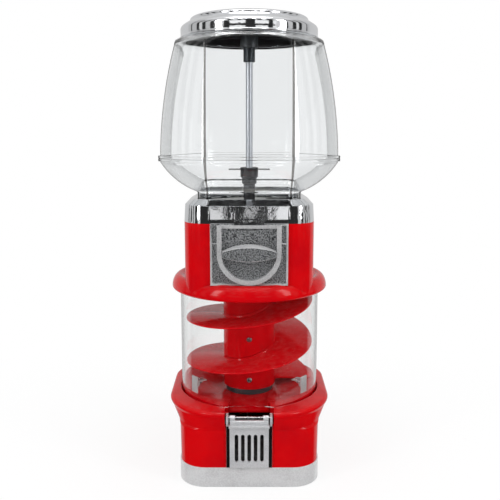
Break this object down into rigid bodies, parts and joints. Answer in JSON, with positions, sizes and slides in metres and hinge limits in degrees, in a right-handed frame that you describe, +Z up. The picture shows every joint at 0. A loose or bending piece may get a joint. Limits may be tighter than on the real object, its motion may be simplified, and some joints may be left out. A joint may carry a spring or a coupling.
{
  "type": "gumball machine",
  "caption": "Countertop gumball machine: clear globe and chrome collar over a coin mechanism, with a red spiral ball run inside a clear cylinder above a chute with a hinged door.",
  "frame": {"origin": "centre of the round foot, on the table", "axes": "+Z up along the centre rod, -Y out of the front through the handle and the chute door, +X to the right as the user faces the machine"},
  "size_m": [0.248, 0.248, 0.6634],
  "materials": {
    "red_paint": "gloss",
    "red_plastic": "gloss",
    "chrome": "polished",
    "cast_aluminium": "satin as cast",
    "zinc_casting": "polished edges on a stippled ground",
    "zinc_works": "tumbled",
    "clear_plastic": "clear",
    "black_plastic": "satin",
    "grey_plastic": "satin",
    "white_plastic": "gloss",
    "zinc_rod": "zinc plated",
    "bright_steel": "plated",
    "lock_metal": "satin"
  },
  "bodies": {
    "frame": {"ball_guard": "black_plastic", "base_skirt": "cast_aluminium", "body_shell": "red_paint", "bowl_floor": "red_plastic", "bracket_screws": "bright_steel", "canopy_ring": "red_paint", "center_rod": "zinc_rod", "chute_frame": "zinc_casting", "collar": "chrome", "cylinder": "clear_plastic", "cylinder_brackets": "bright_steel", "door_pin": "bright_steel", "drop_tube": "black_plastic", "globe_bowl": "clear_plastic", "globe_dome": "clear_plastic", "hopper_plate": "black_plastic", "lower_housing": "red_paint", "mech_backplate": "zinc_works", "mech_faceplate": "zinc_casting", "mech_screws": "bright_steel", "pawl_pin": "bright_steel", "rod_coupling": "zinc_rod", "rod_nut": "zinc_rod", "rod_washer": "zinc_rod", "spiral_foot": "grey_plastic", "spiral_lower": "red_plastic", "spiral_screws": "bright_steel", "spiral_top": "red_plastic", "spiral_upper": "red_plastic"},
    "handle": {"mech_handle": "zinc_casting", "mech_shaft": "bright_steel", "coin_wheel": "zinc_works", "drive_gear": "zinc_works", "shaft_nut": "bright_steel"},
    "wheel": {"gumball_wheel": "white_plastic", "wheel_gear": "white_plastic", "agitator_hub": "black_plastic", "agitator_wires": "bright_steel"},
    "lid": {"lid": "chrome", "lock_body": "lock_metal"},
    "lock": {"lock_plug": "lock_metal"},
    "door": {"chute_door": "zinc_casting"},
    "pawl": {"ratchet_pawl": "zinc_works"}
  },
  "joints": [
    {"name": "handle_turn", "type": "hinge", "parent": "frame", "child": "handle", "pos_m": [0, -0.09, 0.3328], "axis": [0, 1, 0], "continuous": true},
    {"name": "wheel_turn", "type": "hinge", "parent": "frame", "child": "wheel", "pos_m": [0, 0, 0.37], "axis": [0, 0, 1], "continuous": true},
    {"name": "lid_lift", "type": "slide", "parent": "frame", "child": "lid", "axis": [0, 0, 1], "range_m": [0, 0.08]},
    {"name": "lock_turn", "type": "hinge", "parent": "lid", "child": "lock", "pos_m": [0, 0, 0.64], "axis": [0, 0, 1], "range_deg": [0, 90]},
    {"name": "door_swing", "type": "hinge", "parent": "frame", "child": "door", "pos_m": [0, -0.1065, 0.1058], "axis": [-1, 0, 0], "range_deg": [0, 70]},
    {"name": "pawl_swing", "type": "hinge", "parent": "frame", "child": "pawl", "pos_m": [0.026, -0.0795, 0.3358], "axis": [0, -1, 0], "range_deg": [-12.5, 3], "stiffness_Nm_per_rad": 0.002}
  ],
  "couplings": [
    {"joint": "wheel_turn", "follows": "handle_turn", "ratio": 0.33333}
  ]
}
